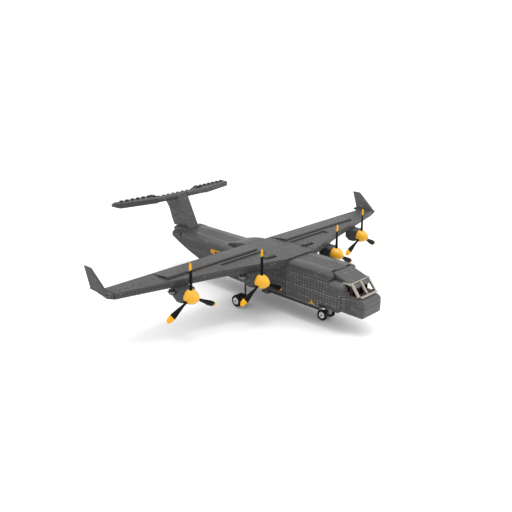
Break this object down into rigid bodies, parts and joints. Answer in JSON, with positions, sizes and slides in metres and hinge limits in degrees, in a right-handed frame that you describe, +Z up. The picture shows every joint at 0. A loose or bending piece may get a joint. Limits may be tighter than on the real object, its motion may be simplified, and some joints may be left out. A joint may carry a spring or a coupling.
{
  "type": "toy brick model of a four-propeller military transport plane",
  "caption": "Toy brick model of a high-wing military transport plane with four propellers, a T-tail, winglets and an open-framed cockpit, standing on its wheels.",
  "frame": {"origin": "on the floor, under the middle of the model's box", "axes": "+Z up, nose along -Y, port wing along +X"},
  "size_m": [0.441, 0.337, 0.1035],
  "materials": {
    "dark_grey_plastic": "moulded plastic, softly glossy",
    "black_plastic": "moulded plastic",
    "yellow_plastic": "moulded plastic, glossy",
    "tan_plastic": "moulded plastic",
    "white_plastic": "moulded plastic",
    "black_rubber": "soft rubber"
  },
  "bodies": {
    "airframe": {"brow_slab": "dark_grey_plastic", "cockpit_roof": "dark_grey_plastic", "cockpit_seats": "black_plastic", "cockpit_shoulders_port": "dark_grey_plastic", "cockpit_shoulders_starboard": "dark_grey_plastic", "fin": "dark_grey_plastic", "flap_port": "dark_grey_plastic", "flap_starboard": "dark_grey_plastic", "front_shell": "dark_grey_plastic", "instrument_panel": "black_plastic", "main_gear_leg_port": "dark_grey_plastic", "main_gear_leg_starboard": "dark_grey_plastic", "nacelle_inner_port": "dark_grey_plastic", "nacelle_inner_starboard": "dark_grey_plastic", "nacelle_outer_port": "dark_grey_plastic", "nacelle_outer_starboard": "dark_grey_plastic", "nose_cap_lower": "dark_grey_plastic", "nose_cap_upper": "dark_grey_plastic", "nose_gear_leg": "dark_grey_plastic", "nose_section": "dark_grey_plastic", "rear_shell": "dark_grey_plastic", "roof_front": "dark_grey_plastic", "roof_rear": "dark_grey_plastic", "shoulders_front_port": "dark_grey_plastic", "shoulders_front_starboard": "dark_grey_plastic", "shoulders_rear_port": "dark_grey_plastic", "shoulders_rear_starboard": "dark_grey_plastic", "tailplane_centre": "dark_grey_plastic", "tailplane_port": "dark_grey_plastic", "tailplane_starboard": "dark_grey_plastic", "windshield_frame": "tan_plastic", "wing_centre_box": "dark_grey_plastic", "wing_fairing": "dark_grey_plastic", "wing_inner_port": "dark_grey_plastic", "wing_inner_starboard": "dark_grey_plastic", "wing_outer_port": "dark_grey_plastic", "wing_outer_starboard": "dark_grey_plastic", "wing_tip_port": "dark_grey_plastic", "wing_tip_starboard": "dark_grey_plastic", "winglet_port": "dark_grey_plastic", "winglet_starboard": "dark_grey_plastic"},
    "propeller_outer_starboard": {"propeller_outer_starboard": "black_plastic", "spinner_outer_starboard": "yellow_plastic"},
    "propeller_inner_starboard": {"propeller_inner_starboard": "black_plastic", "spinner_inner_starboard": "yellow_plastic"},
    "propeller_inner_port": {"propeller_inner_port": "black_plastic", "spinner_inner_port": "yellow_plastic"},
    "propeller_outer_port": {"propeller_outer_port": "black_plastic", "spinner_outer_port": "yellow_plastic"},
    "nose_wheels": {"nose_wheels_rims": "white_plastic", "nose_wheels_tyre_port": "black_rubber", "nose_wheels_tyre_starboard": "black_rubber"},
    "main_wheels_starboard": {"main_wheels_starboard_rims": "white_plastic", "main_wheels_starboard_tyre_inner": "black_rubber", "main_wheels_starboard_tyre_outer": "black_rubber"},
    "main_wheels_port": {"main_wheels_port_rims": "white_plastic", "main_wheels_port_tyre_inner": "black_rubber", "main_wheels_port_tyre_outer": "black_rubber"}
  },
  "joints": [
    {"name": "spin_outer_starboard", "type": "hinge", "parent": "airframe", "child": "propeller_outer_starboard", "pos_m": [-0.144, -0.047, 0.0513], "axis": [0, -1, 0], "continuous": true},
    {"name": "spin_inner_starboard", "type": "hinge", "parent": "airframe", "child": "propeller_inner_starboard", "pos_m": [-0.064, -0.068, 0.0513], "axis": [0, -1, 0], "continuous": true},
    {"name": "spin_inner_port", "type": "hinge", "parent": "airframe", "child": "propeller_inner_port", "pos_m": [0.064, -0.068, 0.0513], "axis": [0, -1, 0], "continuous": true},
    {"name": "spin_outer_port", "type": "hinge", "parent": "airframe", "child": "propeller_outer_port", "pos_m": [0.144, -0.047, 0.0513], "axis": [0, -1, 0], "continuous": true},
    {"name": "roll_nose_wheels", "type": "hinge", "parent": "airframe", "child": "nose_wheels", "pos_m": [0, -0.108, 0.0064], "axis": [1, 0, 0], "continuous": true},
    {"name": "roll_main_wheels_starboard", "type": "hinge", "parent": "airframe", "child": "main_wheels_starboard", "pos_m": [-0.0396, -0.0126, 0.007], "axis": [1, 0, 0], "continuous": true},
    {"name": "roll_main_wheels_port", "type": "hinge", "parent": "airframe", "child": "main_wheels_port", "pos_m": [0.0396, -0.0126, 0.007], "axis": [1, 0, 0], "continuous": true}
  ]
}
